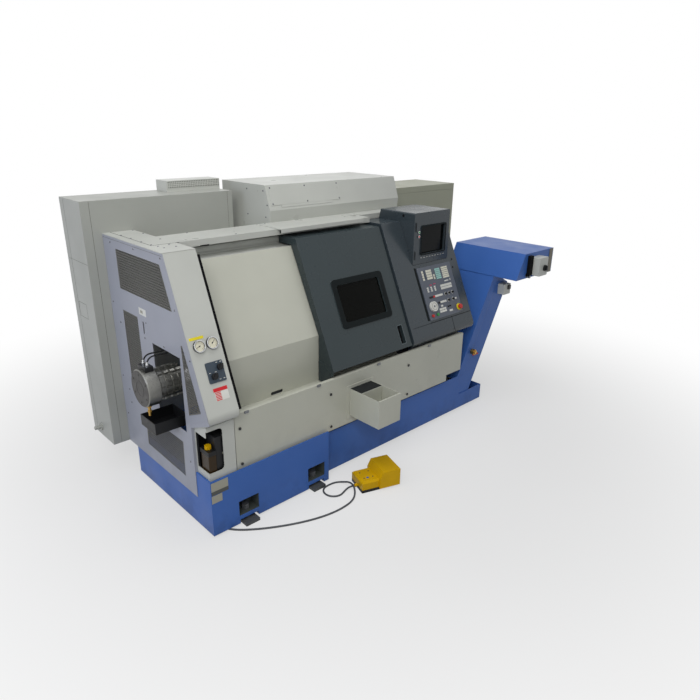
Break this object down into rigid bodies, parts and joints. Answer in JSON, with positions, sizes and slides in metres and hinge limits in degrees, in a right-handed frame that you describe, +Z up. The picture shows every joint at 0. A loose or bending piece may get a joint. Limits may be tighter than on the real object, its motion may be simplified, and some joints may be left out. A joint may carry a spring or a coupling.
{
  "type": "cnc turning lathe",
  "caption": "Slant bed turning lathe in a folded sheet enclosure with sliding door, console, chip conveyor, coolant tank and foot switch",
  "frame": {"origin": "on the floor, at the middle of the footprint without the foot switch cord", "axes": "+X to the operator's right along the spindle, +Y to the rear, +Z up"},
  "size_m": [3.356, 1.713, 1.85],
  "materials": {
    "beige": "satin",
    "cream": "satin",
    "blue": "satin",
    "door_grey": "satin",
    "console_grey": "satin",
    "end_grey": "satin",
    "mesh": "satin",
    "casting": "matte",
    "steel": "ground",
    "aluminium": "satin",
    "glass": "gloss",
    "screen": "gloss",
    "keys": "matte",
    "black": "matte",
    "yellow": "gloss",
    "red": "gloss",
    "green": "gloss",
    "clear": "translucent",
    "white": "matte",
    "gauge": "gloss",
    "rubber": "matte",
    "brass": "satin"
  },
  "bodies": {
    "machine": {"base_casting": "blue", "levelling_feet": "casting", "coolant_tank": "blue", "slant_bed": "casting", "headstock": "casting", "left_end_cover": "end_grey", "end_grilles": "mesh", "gauge_cover": "beige", "switch_plate": "black", "pressure_gauges": "gauge", "corner_cover": "beige", "lubricator": "black", "oil_reservoir": "clear", "front_panel": "cream", "fixed_front_cover": "cream", "roof_cover": "beige", "rear_top_cover": "beige", "electric_cabinet": "beige", "cabinet_fan_box": "beige", "rear_housing": "beige", "door_header": "beige", "console_housing": "console_grey", "monitor_housing": "console_grey", "screen": "screen", "keyboard_panel": "keys", "rear_cover": "beige", "conveyor_trough": "blue", "conveyor_belt": "steel", "conveyor_hood": "blue", "terminal_boxes": "beige", "drain_valve": "brass", "cylinder_cap": "aluminium", "cylinder_pipes": "black", "drip_tray": "black", "footswitch_body": "yellow", "footswitch_cord": "rubber"},
    "door": {"door_panel": "door_grey", "door_window": "glass"},
    "spindle_unit": {"spindle": "steel", "chuck": "steel", "cylinder_body": "aluminium"},
    "jaw_a": {"jaw_1": "steel"},
    "jaw_b": {"jaw_2": "steel"},
    "jaw_c": {"jaw_3": "steel"},
    "saddle_unit": {"saddle": "casting"},
    "slide_unit": {"cross_slide": "casting"},
    "turret_unit": {"turret": "steel"},
    "tray": {"parts_tray": "cream"},
    "upper_switch": {"switch_knob_upper": "black"},
    "lower_switch": {"switch_knob_lower": "black"},
    "oil_cap": {"filler_cap": "yellow"},
    "stop_button": {"emergency_stop": "red"},
    "hand_wheel": {"handwheel": "white"},
    "start_button": {"cycle_start": "green"},
    "hold_button": {"feed_hold": "red"},
    "isolator": {"isolator_knob": "black"},
    "drain_lever": {"valve_lever": "red"},
    "drive_shaft": {"conveyor_shaft": "steel"},
    "cabinet_leaf": {"cabinet_door": "beige"},
    "pedal": {"footswitch_pedal": "black"}
  },
  "joints": [
    {"name": "door_slide", "type": "slide", "parent": "machine", "child": "door", "axis": [-1, 0, 0], "range_m": [0, 0.7]},
    {"name": "spindle_spin", "type": "hinge", "parent": "machine", "child": "spindle_unit", "pos_m": [-1.112, -0.12882, 0.858], "axis": [1, 0, 0], "continuous": true},
    {"name": "jaw_slide_1", "type": "slide", "parent": "spindle_unit", "child": "jaw_a", "axis": [0, 0, 1], "range_m": [0, 0.006]},
    {"name": "jaw_slide_2", "type": "slide", "parent": "spindle_unit", "child": "jaw_b", "axis": [0, -0.866, -0.5], "range_m": [0, 0.006]},
    {"name": "jaw_slide_3", "type": "slide", "parent": "spindle_unit", "child": "jaw_c", "axis": [0, 0.866, -0.5], "range_m": [0, 0.006]},
    {"name": "saddle_slide", "type": "slide", "parent": "machine", "child": "saddle_unit", "axis": [1, 0, 0], "range_m": [-0.25, 0.3]},
    {"name": "cross_feed", "type": "slide", "parent": "saddle_unit", "child": "slide_unit", "axis": [0, -0.7071, -0.7071], "range_m": [0, 0.2]},
    {"name": "turret_index", "type": "hinge", "parent": "slide_unit", "child": "turret_unit", "pos_m": [-0.262, 0.05644, 1.04326], "axis": [1, 0, 0], "continuous": true},
    {"name": "tray_push", "type": "slide", "parent": "machine", "child": "tray", "axis": [0, 1, 0], "range_m": [0, 0.24]},
    {"name": "upper_switch_turn", "type": "hinge", "parent": "machine", "child": "upper_switch", "pos_m": [-1.372, -0.44782, 1.004], "axis": [0, -0.9259, 0.3778], "range_deg": [0, 90]},
    {"name": "lower_switch_turn", "type": "hinge", "parent": "machine", "child": "lower_switch", "pos_m": [-1.416, -0.46414, 0.964], "axis": [0, -0.9259, 0.3778], "range_deg": [0, 90]},
    {"name": "oil_cap_turn", "type": "hinge", "parent": "machine", "child": "oil_cap", "pos_m": [-1.468, -0.43182, 0.54], "axis": [0, 0, 1], "range_deg": [0, 120]},
    {"name": "stop_press", "type": "slide", "parent": "machine", "child": "stop_button", "axis": [0, 0.9089, -0.4171], "range_m": [0, 0.0055], "stiffness_N_per_m": 1500},
    {"name": "hand_wheel_turn", "type": "hinge", "parent": "machine", "child": "hand_wheel", "pos_m": [0.478, -0.38837, 0.953], "axis": [0, -0.9089, 0.4171], "continuous": true},
    {"name": "start_press", "type": "slide", "parent": "machine", "child": "start_button", "axis": [0, 0.9089, -0.4171], "range_m": [0, 0.004], "stiffness_N_per_m": 900},
    {"name": "hold_press", "type": "slide", "parent": "machine", "child": "hold_button", "axis": [0, 0.9089, -0.4171], "range_m": [0, 0.004], "stiffness_N_per_m": 900},
    {"name": "isolator_turn", "type": "hinge", "parent": "machine", "child": "isolator", "pos_m": [1.4144, -0.74382, 1.16848], "axis": [0, -1, 0], "range_deg": [0, 90]},
    {"name": "drain_turn", "type": "hinge", "parent": "machine", "child": "drain_lever", "pos_m": [0.94, -0.47082, 0.475], "axis": [0, 0, -1], "range_deg": [0, 90]},
    {"name": "conveyor_drive", "type": "hinge", "parent": "machine", "child": "drive_shaft", "pos_m": [1.30318, -0.30382, 1.112], "axis": [0, 1, 0], "continuous": true},
    {"name": "cabinet_swing", "type": "hinge", "parent": "machine", "child": "cabinet_leaf", "pos_m": [-1.624, 0.85648, 0.9], "axis": [0, 0, 1], "range_deg": [0, 110]},
    {"name": "pedal_press", "type": "hinge", "parent": "machine", "child": "pedal", "pos_m": [-0.41509, -0.72841, 0.062], "axis": [0.3239, 0.9461, 0], "range_deg": [0, 15], "stiffness_Nm_per_rad": 6, "springref_deg": -11.46}
  ],
  "couplings": [
    {"joint": "jaw_slide_2", "follows": "jaw_slide_1", "ratio": 1},
    {"joint": "jaw_slide_3", "follows": "jaw_slide_1", "ratio": 1}
  ]
}
